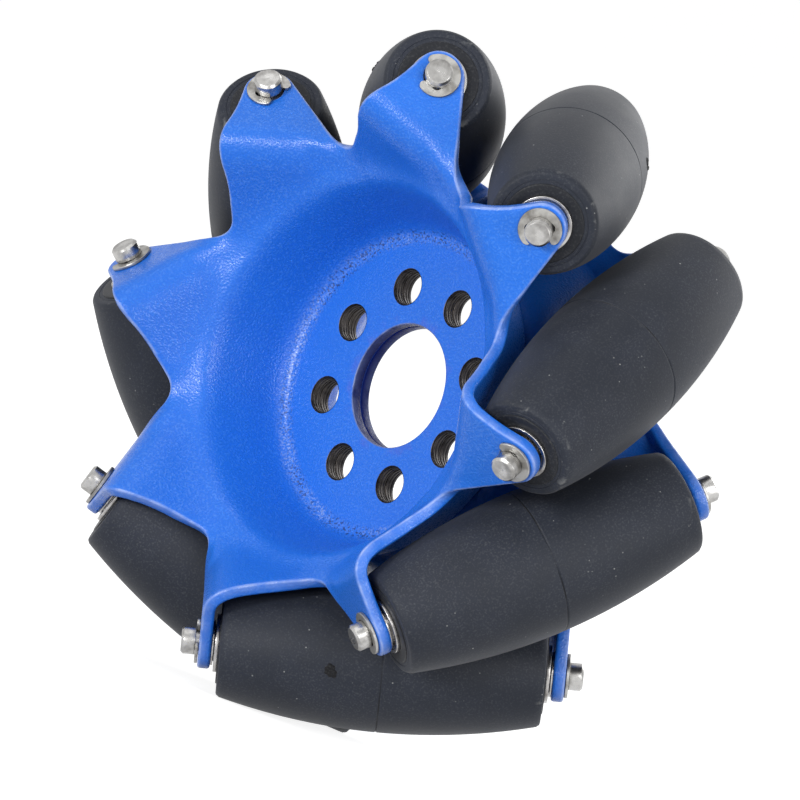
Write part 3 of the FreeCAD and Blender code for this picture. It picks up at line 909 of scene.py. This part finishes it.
    def holes(self) -> tuple[list[np.ndarray], list[np.ndarray]]:
        """Edges of the painted holes, then of the holes drilled after painting."""
        pin = self.on_lug(0.0, 0.0)
        pin_hole = self.circle((pin[0], pin[1]), self.lug_hole, math.cos(self.lean))
        bolt_hole = self.circle((self.bolt_circle, 0.0), self.bolt_hole)
        bore = self.circle((0.0, 0.0), self.bore_radius)
        return [bore, *self.all_round(pin_hole)], self.all_round(bolt_hole)

    def unrolled(self, plan: np.ndarray) -> np.ndarray:
        """Points of the plan moved out so that the dish's wall gets its true length."""
        radius = np.hypot(plan[:, 0], plan[:, 1])
        return plan * (np.interp(radius, *self.spread_table) / np.maximum(radius, TINY))[:, None]

    def rolled(self, spread: np.ndarray) -> np.ndarray:
        """The plan of points that were unrolled."""
        length = np.hypot(spread[:, 0], spread[:, 1])
        return spread * (np.interp(length, *self.spread_table[::-1]) / np.maximum(length, TINY))[:, None]

    def inset(self, loop: np.ndarray, distance: float) -> np.ndarray:
        """A loop moved into the sheet by the rounding of its edge."""
        along = unit(np.roll(loop, -1, 0) - np.roll(loop, 1, 0))
        return loop + distance * np.stack([-along[:, 1], along[:, 0]], 1)

    def triangles(self, loops: Sequence[np.ndarray]) -> tuple[np.ndarray, list, list[np.ndarray]]:
        """Fills the sheet between its edges with even triangles.

        Args:
            loops: The outer edge and the holes, in plan.

        Returns:
            Points in plan, triangles, and the point numbers along every edge.
        """
        edges = [self.unrolled(loop) for loop in loops]
        reach = np.abs(edges[0]).max()
        columns = np.arange(-reach, reach, self.grid)
        rows = np.arange(-reach, reach, self.grid * math.sqrt(3) / 2)
        shifts = [number % 2 * self.grid / 2 for number in range(len(rows))]
        fill = np.array([(x + shift, y) for y, shift in zip(rows, shifts) for x in columns])
        fill = fill[inside(fill, edges)]
        near = np.zeros(len(fill), dtype=bool)
        for point in np.concatenate(edges):
            near |= np.abs(fill - point).max(1) < self.grid / 2
        rings, constraints, first = [], [], 0
        for edge in edges:
            ring = np.arange(first, first + len(edge))
            rings.append(ring)
            constraints += list(zip(ring.tolist(), np.roll(ring, -1).tolist()))
            first += len(edge)
        points = [Vector(point) for point in np.concatenate([*edges, fill[~near]])]
        made = delaunay_2d_cdt(points, constraints, [], 0, self.merge_reach, True)
        spread, faces = np.array([tuple(point) for point in made[0]]), np.array(made[2])
        new_number = {old: new for new, olds in enumerate(made[3]) for old in olds}
        faces = faces[inside(spread[faces].mean(1), edges)]
        rings = [np.array([new_number[int(old)] for old in ring]) for ring in rings]
        return self.rolled(spread), faces.tolist(), rings

    def mesh(self) -> tuple[np.ndarray, list, list[int], np.ndarray]:
        """The whole sheet: front, back and rounded edges.

        Returns:
            Points, faces, the material number of every face and the wear of every point.
        """
        painted, drilled = self.holes()
        loops = [self.inset(self.outline(), self.edge_rounding)]
        loops += [self.inset(hole, self.hole_rounding) for hole in painted + drilled]
        plan, triangles, rings = self.triangles(loops)
        front, normals = self.surface(plan)
        count = len(front)
        points, wear = [front, front - normals * self.sheet], [np.zeros(2 * count)]
        faces = [tuple(face) for face in triangles]
        faces += [tuple(corner + count for corner in reversed(face)) for face in triangles]
        slots = [0] * len(faces)
        total = 2 * count
        for number, ring in enumerate(rings):
            rounding = self.edge_rounding if number == 0 else self.hole_rounding
            rows = self.edge_rows(front[ring], normals[ring], rounding)
            between = [total + row * len(ring) + np.arange(len(ring)) for row in range(len(rows))]
            grid = [ring, *between, ring + count]
            points += rows
            wear += [np.full(len(ring), share) for share in self.edge_wear_and_highlight]
            total += len(rows) * len(ring)
            for upper, lower in zip(grid[:-1], grid[1:]):
                faces += list(zip(upper, lower, np.roll(lower, -1), np.roll(upper, -1)))
            slots += [1 if number > len(painted) else 0] * (len(faces) - len(slots))
        return np.concatenate(points), faces, slots, np.concatenate(wear)

    def edge_rows(self, front: np.ndarray, normals: np.ndarray, rounding: float) -> list[np.ndarray]:
        """Rows of points round the sheet's edge, from just below the front to just above the back."""
        out = unit(np.cross(np.roll(front, -1, 0) - np.roll(front, 1, 0), normals))
        angles = np.radians(self.edge_degs)
        spots = [(rounding * math.sin(angle), rounding * (1 - math.cos(angle))) for angle in angles]
        spots += [(reach, self.sheet - depth) for reach, depth in reversed(spots)]
        return [front + out * reach - normals * depth for reach, depth in spots]

    def build(self, first: RollerPlace) -> None:
        """Makes both plates, the rear one turned over.

        Args:
            first: The roller that the plates' first lug holds.
        """
        points, faces, slots, wear = self.mesh()
        materials = [POWDER_COAT.build(), DRILLED_STEEL.build()]
        clock = math.atan2(first.centre.z, first.centre.x)
        lay_over = Matrix.Rotation(math.pi / 2, 4, "X") @ Matrix.Rotation(clock, 4, "Z")
        for side in Side:
            piece = mesh_piece(f"{side.value}_pressed_plate", points, faces, materials,
                               lay_over @ side.turn(), slots, wear, self.crease_deg)
            dress(piece, "hub", "plate_paint", f"{side.value}_plate")


# Rollers

@dataclass
class Roller:
    """A barrel of rubber moulded on a nylon core, with a flanged bearing at both ends."""

    tread_mid: float = 16.0
    tread_end: float = 11.4
    tread_half: float = 35.1
    tread_edge: float = 0.7
    # A moulded groove runs round the rubber's end face, outside its bond to the core.
    groove_outer: float = 9.75
    groove_inner: float = 9.4
    groove_slope: float = 0.1
    groove_depth: float = 0.12
    bond_depth: float = 0.02
    core_radius: float = 8.8
    core_half: float = 35.4
    core_bore: float = 4.2
    core_rounding: float = 0.3
    seat_rounding: float = 0.2
    bearing_radius: float = 6.0
    bearing_width: float = 4.0
    bearing_inner: float = 4.07
    bearing_recess: float = 0.2
    bearing_rounding: float = 0.25
    inner_rounding: float = 0.1
    flange_radius: float = 6.3
    flange_width: float = 0.8
    flange_roundings: tuple[float, float] = (0.12, 0.15)
    shield_radius: float = 5.5
    shield_slope: float = 0.1
    shield_depth: float = 0.25
    # The two halves of the mould leave a fine open line round the middle, deeper in some places.
    parting_depth: float = 0.3
    parting_width: float = 0.18
    parting_even: float = 0.6
    parting_waves: tuple[int, int] = (3, 7)
    parting_start: float = 2.1
    parting_change: float = 2.4
    parting_reach: float = 3.0
    # The gate leaves a low torn mark. Its rim has waves: their number, where they start, how far they reach.
    gate_radius: float = 1.4
    gate_place: float = 11.0
    gate_rim: tuple[tuple[int, float, float], ...] = ((2, 0.5, 0.15), (3, 2.0, 0.1), (7, 0.0, 0.09))
    gate_tear: float = 0.6
    gate_tears: tuple[tuple[int, float], ...] = ((5, 0.0), (2, 0.7))
    # Its rows of points run from below the rubber to its middle: height, share of the radius, torn or not.
    gate_rows: tuple[tuple[float, float, bool], ...] = (
        (-0.5, 1.1, False), (0.0, 1.0, False), (0.192, 0.85, True), (0.24, 0.6, True), (0.048, 0.25, False))
    # Every roller is turned on its pin in its own way. Even ones are also fitted the other way round.
    gate_turns: tuple[float, ...] = (150.0, 310.0, 58.0, 200.0, 20.0, 250.0, 64.0, 250.0)
    scuffed_reach: float = 1.8
    # Fineness of the meshes.
    segments: int = 144
    inner_segments: int = 96
    gate_points: int = 36
    barrel_points: int = 34
    parting_points: int = 13
    barrel_start: float = 1.0
    cap_degs: tuple[float, ...] = (18.0, 36.0, 54.0, 72.0, 90.0)
    core_step: float = 0.1
    bearing_step: float = 0.06

    @property
    def seat(self) -> float:
        """Distance of a bearing's inner end from the roller's middle."""
        return self.core_half + self.flange_width + self.bearing_recess - self.bearing_width

    def crown(self, height: np.ndarray) -> np.ndarray:
        """Radius of the barrel at distances from its middle."""
        drop = self.tread_mid - self.tread_end
        arc = (self.tread_half ** 2 + drop ** 2) / (2 * drop)
        return self.tread_mid - arc + np.sqrt(arc ** 2 - height ** 2)

    def tread_profile(self) -> Profile:
        """Section of the rubber: barrel, rounded ends with a moulded groove, and the bond to the core."""
        end, ease = self.tread_half, self.tread_edge
        barrel_end = end - ease
        fine = self.parting_width * np.linspace(-self.parting_reach, self.parting_reach, self.parting_points)
        coarse = np.linspace(self.barrel_start, barrel_end, self.barrel_points)
        heights = np.unique(np.concatenate([-coarse, fine, coarse]))
        barrel = [(float(radius), float(height)) for radius, height in zip(self.crown(heights), heights)]
        upper = [(self.tread_end - ease * (1 - math.cos(angle)), barrel_end + ease * math.sin(angle))
                 for angle in np.radians(self.cap_degs)]
        floor, bond = end - self.groove_depth, end - self.bond_depth
        upper += [(self.groove_outer, end), (self.groove_outer - self.groove_slope, floor),
                  (self.groove_inner + self.groove_slope, floor), (self.groove_inner, bond),
                  (self.core_radius, bond)]
        lower = [(radius, -height) for radius, height in reversed(upper)]
        return lower + barrel + upper

    def gate(self) -> Mesh:
        """The gate's mark on the tread's +X side: a low patch with a ragged rim and a torn top."""
        around = np.linspace(0, math.tau, self.gate_points, endpoint=False)
        rim = 1 + sum(size * np.sin(count * around + start) for count, start, size in self.gate_rim)
        tear = 1 + self.gate_tear * sine_product(around, self.gate_tears)
        rows = []
        for height, share, torn in self.gate_rows:
            spots = on_circle(around) * (self.gate_radius * share * rim)[:, None]
            across, along = spots[:, 0], self.gate_place + spots[:, 1]
            reach = self.crown(along) + height * (tear if torn else 1)
            rows.append(np.stack([np.sqrt(reach ** 2 - across ** 2), across, along], 1))
        return np.concatenate(rows), grid_faces(len(rows), len(around), False)

    def tread(self, phase: float) -> Mesh:
        """The rubber with its parting line and gate mark.

        Args:
            phase: Makes the depth of every roller's parting line its own.

        Returns:
            Points and faces, those of the gate mark last.
        """
        points, faces = turned(self.tread_profile(), self.segments)
        radius = np.hypot(points[:, 0], points[:, 1])
        angle = np.arctan2(points[:, 1], points[:, 0])
        line = np.exp(-(points[:, 2] / self.parting_width) ** 2) * (radius > self.tread_end)
        waves = sine_product(angle, zip(self.parting_waves, (phase, self.parting_start)))
        depth = self.parting_depth * (self.parting_even + (1 - self.parting_even) * waves)
        points[:, :2] *= (1 - depth * line / radius)[:, None]
        mark, mark_faces = self.gate()
        faces += [tuple(corner + len(points) for corner in face) for face in mark_faces]
        return np.concatenate([points, mark]), faces

    def end_wear(self, points: np.ndarray) -> np.ndarray:
        """1 at the outer edges of the roller's ends, fading out over the scuffed reach."""
        radius = np.hypot(points[:, 0], points[:, 1])
        edge_away = np.hypot(radius - self.tread_end, np.abs(points[:, 2]) - self.tread_half)
        return 1 - smooth_step(edge_away / self.scuffed_reach)

    def core_profile(self) -> Profile:
        """Section of the nylon tube with a bearing seat at both ends."""
        front = [
            (self.core_radius, self.core_half, self.core_rounding),
            (self.bearing_radius, self.core_half, self.seat_rounding),
            (self.bearing_radius, self.seat, 0.0), (self.core_bore, self.seat, 0.0),
        ]
        return rounded_loop(both_ends(front), self.core_step)

    def bearing_profile(self) -> Profile:
        """Section of a bearing's outer ring and shield, measured from the ring's inner end."""
        low, high = self.bearing_recess, self.bearing_width - self.bearing_recess
        flange, shield = high - self.flange_width, high - self.shield_depth
        corners = [
            (self.bearing_inner, low, self.inner_rounding),
            (self.bearing_radius, low, self.bearing_rounding), (self.bearing_radius, flange, 0.0),
            (self.flange_radius, flange, self.flange_roundings[0]),
            (self.flange_radius, high, self.flange_roundings[1]),
            (self.shield_radius, high, 0.0), (self.shield_radius - self.shield_slope, shield, 0.0),
            (self.bearing_inner, shield, self.inner_rounding),
        ]
        return rounded_loop(corners, self.bearing_step)

    def build(self, places: Sequence[RollerPlace]) -> None:
        """Makes every roller.

        Args:
            places: Where the rollers sit.
        """
        rubber = [TREAD_RUBBER.build(), TORN_RUBBER.build()]
        mark_count = len(self.gate()[1])
        slide = Matrix.Translation((0, 0, self.seat * MM))
        bearing = turned(self.bearing_profile(), self.inner_segments)
        core = turned(self.core_profile(), self.inner_segments)
        fixed_parts = (
            ("core", core, [CORE_NYLON.build()], "core_nylon"),
            ("bearings", repeated(*bearing, [side.turn() @ slide for side in Side]), [GROUND_STEEL.build()],
             "bearing_steel"),
        )
        for place, gate_turn in zip(places, self.gate_turns):
            tread = ("tread", self.tread(place.number * self.parting_change), rubber, "tread_rubber")
            side = Side.REAR if place.number % 2 == 0 else Side.FRONT
            spin = math.radians(-gate_turn if side is Side.REAR else gate_turn)
            for part, (points, faces), materials, slot in (tread, *fixed_parts):
                marks = mark_count if part == "tread" else 0
                piece = mesh_piece(f"{place.name}_dressed_{part}", points, faces, materials,
                                   place.matrix(side, 0.0, spin), [0] * (len(faces) - marks) + [1] * marks,
                                   self.end_wear(points))
                dress(piece, place.name, slot, f"{place.name}_{part}")


# Pins, clips, washers and inner rings

@dataclass
class PinSet:
    """The turned pins and what is threaded on them at both ends."""

    pin_radius: float = 3.0
    pin_half: float = 43.5
    pin_chamfer: float = 0.5
    chamfer_rounding: float = 0.06
    # The lathe leaves a shallow centre mark in the end faces, which ends just beside the axis.
    centre_radius: float = 0.45
    centre_depth: float = 0.06
    centre_end: float = 0.01
    face_step: float = 0.15
    groove_radius: float = 2.1
    groove_width: float = 0.8
    groove_rounding: float = 0.12
    clip_play: float = 0.1
    clip_radius: float = 4.8
    clip_thickness: float = 0.7
    clip_edge: float = 0.12
    clip_flat: float = 0.9
    # The clip grips the groove at its back and with two tabs, and is relieved between them and at the mouth.
    clip_gap: float = 0.05
    clip_lobe: float = 1.15
    clip_lobe_deg: float = 100.0
    clip_lobe_width_deg: float = 30.0
    clip_mouth: float = 0.8
    clip_mouth_deg: float = 55.0
    clip_mouth_fade_deg: float = 25.0
    # The tips are rounded down to a small flat.
    clip_tip_deg: float = 38.0
    clip_tip_length_deg: float = 16.0
    clip_tip_flat: float = 0.1
    # A clip turns freely in its groove, so every mouth points its own way, in degrees from the rim.
    clip_turns: tuple[float, ...] = (140.0, 218.0, 77.0, 199.0, 20.0, 300.0, 110.0, 250.0)
    washer_start: float = 36.4
    washer_radius: float = 4.9
    washer_hole: float = 3.1
    washer_thickness: float = 0.5
    washer_rounding: float = 0.12
    ring_radius: float = 4.0
    ring_width: float = 4.0
    ring_rounding: float = 0.15
    # Fineness of the meshes.
    pin_segments: int = 64
    ring_segments: int = 72
    clip_points: int = 121
    arc_step: float = 0.05

    def pin_profile(self) -> Profile:
        """Section of the pin, both ends grooved and chamfered."""
        groove = LUG_FRONT + self.clip_play / 2
        groove_end = groove + self.groove_width
        face = self.pin_radius - self.pin_chamfer
        front = [
            (self.pin_radius, groove, 0.0), (self.groove_radius, groove, 0.0),
            (self.groove_radius, groove_end, 0.0), (self.pin_radius, groove_end, self.groove_rounding),
            (self.pin_radius, self.pin_half - self.pin_chamfer, self.chamfer_rounding),
            (face, self.pin_half, self.chamfer_rounding), (face - self.face_step, self.pin_half, 0.0),
            (self.centre_radius + self.face_step, self.pin_half, 0.0),
            (self.centre_radius, self.pin_half, 0.0),
            (self.centre_end, self.pin_half - self.centre_depth, 0.0),
        ]
        return rounded_loop(both_ends(front), self.arc_step)

    def clip(self) -> Mesh:
        """One open retaining ring: a band round the groove with rounded tips and a relieved inside."""
        tip = math.radians(self.clip_tip_deg)
        turns = np.linspace(0, math.pi, self.clip_points)
        angles = tip + (math.tau - 2 * tip) * (1 - np.cos(turns)) / 2
        from_mouth = np.degrees(np.minimum(angles, math.tau - angles))
        lobe = np.exp(-((from_mouth - self.clip_lobe_deg) / self.clip_lobe_width_deg) ** 2)
        mouth = smooth_step((self.clip_mouth_deg - from_mouth) / self.clip_mouth_fade_deg)
        inner = self.groove_radius + self.clip_gap + self.clip_lobe * lobe + self.clip_mouth * mouth
        into = np.clip((from_mouth - self.clip_tip_deg) / self.clip_tip_length_deg, 0, 1)
        middle = (self.clip_radius + inner) / 2
        half = (self.clip_radius - inner) / 2 * np.maximum(np.sqrt(1 - (1 - into) ** 2), self.clip_tip_flat)
        edge, flat, thick = self.clip_edge, self.clip_flat, self.clip_thickness
        section = [(-1, edge), (-1, thick - edge), (-flat, thick), (flat, thick), (1, thick - edge),
                   (1, edge), (flat, 0.0), (-flat, 0.0)]
        rows = []
        for share, height in section:
            plan = on_circle(angles) * (middle + half * share)[:, None]
            rows.append(np.column_stack([plan, np.full_like(angles, height)]))
        return np.stack(rows, 1).reshape(-1, 3), grid_faces(len(angles), len(section), False)

    def ring(self, inner: float, outer: float, width: float, rounding: float) -> Mesh:
        """A plain ring with eased edges."""
        spots = ((inner, 0.0), (outer, 0.0), (outer, width), (inner, width))
        return turned(rounded_loop([(*spot, rounding) for spot in spots], self.arc_step), self.ring_segments)

    def build(self, places: Sequence[RollerPlace]) -> None:
        """Makes the pins and the groups of clips, washers and inner rings.

        Args:
            places: Where the rollers sit.
        """
        turned_steel, stamped, ground = TURNED_STEEL.build(), STAMPED_STEEL.build(), GROUND_STEEL.build()
        pin = turned(self.pin_profile(), self.pin_segments)
        for place in places:
            piece = mesh_piece(f"axle_{place.number}_turned_pin", *pin, [turned_steel], place.matrix())
            dress(piece, "hub", "axle_steel", f"axle_{place.number}")
        washer = self.ring(self.washer_hole, self.washer_radius, self.washer_thickness, self.washer_rounding)
        ring = self.ring(self.pin_radius, self.ring_radius, self.ring_width, self.ring_rounding)
        groups = (
            ("e_clips", self.clip(), stamped, "clip_steel", LUG_FRONT + self.clip_play),
            ("thrust_washers", washer, ground, "washer_steel", self.washer_start),
            ("bearing_inner_rings", ring, ground, "bearing_steel", self.washer_start - self.ring_width),
        )
        turns = np.radians(self.clip_turns)
        for side in Side:
            for name, mesh, material, slot, along in groups:
                spots = [place.matrix(side, along, float(turn)) for place, turn in zip(places, turns)]
                piece = mesh_piece(f"{side.value}_dressed_{name}", *repeated(*mesh, spots), [material],
                                   Matrix.Identity(4))
                dress(piece, "hub", slot, f"{side.value}_{name}")


# Studio

@dataclass
class PhotoCamera:
    """Long-lens camera at the photograph's angle."""

    azimuth: float = 45.59
    elevation: float = 3.01
    roll: float = 21.21
    distance_m: float = 3.6
    far_m: float = 50.0
    lens: float = 749.0
    aim_right: float = -1.55
    aim_up: float = -2.53

    def turn(self) -> Matrix:
        """The camera's axes in the wheel's frame."""
        azimuth, elevation = math.radians(self.azimuth), math.radians(self.elevation)
        back = Vector((math.sin(azimuth) * math.cos(elevation), -math.cos(azimuth) * math.cos(elevation),
                       math.sin(elevation)))
        level = (-back).to_track_quat("-Z", "Y").to_matrix().to_4x4()
        return level @ Matrix.Rotation(math.radians(self.roll), 4, "Z")

    def build(self) -> None:
        """Makes the camera and gives it to the scene."""
        data = bpy.data.cameras.new("photo_camera")
        data.lens = self.lens
        data.clip_end = self.far_m
        camera = bpy.data.objects.new("photo_camera", data)
        aim = Vector((self.aim_right * MM, self.aim_up * MM, self.distance_m))
        camera.matrix_world = self.turn() @ Matrix.Translation(aim)
        bpy.context.scene.collection.objects.link(camera)
        bpy.context.scene.camera = camera


@dataclass(frozen=True)
class Softbox:
    """A square soft lamp.

    Its place is in metres to the right of, above and in front of the wheel, as the camera sees it.
    """

    name: str
    place: tuple[float, float, float]
    side_m: float
    watts: float

    def build(self, view: Matrix) -> None:
        """Adds the lamp to the scene, looking at the wheel.

        Args:
            view: The camera's axes in the wheel's frame.
        """
        data = bpy.data.lights.new(self.name, "AREA")
        data.size = self.side_m
        data.energy = self.watts
        lamp = bpy.data.objects.new(self.name, data)
        spot = view.to_3x3() @ Vector(self.place)
        lamp.matrix_world = Matrix.Translation(spot) @ (-spot).to_track_quat("-Z", "Y").to_matrix().to_4x4()
        bpy.context.scene.collection.objects.link(lamp)


@dataclass
class Studio:
    """White studio: pale floor, white surroundings and large soft lamps."""

    camera: PhotoCamera
    floor_half_m: float = 60.0
    floor_white: str = "#bcbcbc"
    floor_glow: float = 0.85
    surround_light: float = 0.3
    lamps: tuple[Softbox, ...] = (
        Softbox("front_softbox", (-1.2, 0.55, 3.3), 0.65, 30.0),
        Softbox("left_softbox", (-2.0, 1.0, 2.4), 0.7, 58.0),
        Softbox("right_softbox", (0.75, 0.2, 1.5), 0.7, 8.0),
        Softbox("low_right_softbox", (1.1, -0.25, 0.8), 0.35, 5.0),
        Softbox("top_softbox", (-0.1, 1.3, 0.4), 1.0, 2.5),
        Softbox("rear_softbox", (1.06, 0.5, -1.05), 1.0, 11.0),
    )

    def floor(self) -> None:
        """Makes the pale floor that the wheel stands on and that keeps its shadow."""
        low = CAD_BOX[0].z / MM
        half = self.floor_half_m / MM
        corners = np.array([(-half, -half, low), (half, -half, low), (half, half, low), (-half, half, low)])
        material, tree, _ = new_material("matt_white_paper")
        paper = add_node(tree, "BsdfDiffuse", {"Color": linear(self.floor_white)})
        share = add_node(tree, "Math", (self.seen_directly(tree), self.floor_glow), operation="MULTIPLY")
        glow = add_node(tree, "Emission", {"Color": WHITE, "Strength": share.outputs[0]})
        mixed = add_node(tree, "AddShader", (paper.outputs[0], glow.outputs[0]))
        add_node(tree, "OutputMaterial", {"Surface": mixed.outputs[0]})
        mesh_piece("studio_floor", corners, [(0, 1, 2, 3)], [material], Matrix.Identity(4))

    def seen_directly(self, tree: bpy.types.NodeTree) -> Socket:
        """1 for rays that show the surroundings as a white backdrop."""
        path = add_node(tree, "LightPath").outputs
        seen = path["Is Camera Ray"]
        for name in ("Is Glossy Ray", "Is Transmission Ray"):
            seen = add_node(tree, "Math", (seen, path[name]), operation="MAXIMUM").outputs[0]
        return seen

    def world(self) -> None:
        """Makes the white surroundings, dimmer as a light than as a backdrop."""
        world = bpy.data.worlds.new("white_studio")
        world.use_nodes = True
        tree = world.node_tree
        tree.nodes.clear()
        strength = add_node(tree, "MapRange", (self.seen_directly(tree), 0.0, 1.0, self.surround_light, 1.0))
        light = add_node(tree, "Background", {"Color": WHITE, "Strength": strength.outputs[0]})
        add_node(tree, "OutputWorld", {"Surface": light.outputs[0]})
        bpy.context.scene.world = world

    def build(self) -> None:
        """Makes the floor, the surroundings and the lamps."""
        self.floor()
        self.world()
        for lamp in self.lamps:
            lamp.build(self.camera.turn())
        bpy.context.scene.view_settings.view_transform = "Standard"


def main() -> None:
    """Builds the wheel's pieces in order, then the studio round them."""
    logging.basicConfig(level=logging.INFO, format="%(name)s: %(message)s")
    places = roller_places()
    PressedPlate(places[0].radius, places[0].lean, len(places)).build(places[0])
    Roller().build(places)
    PinSet().build(places)
    camera = PhotoCamera()
    camera.build()
    Studio(camera).build()


if __name__ == "__main__":
    main()
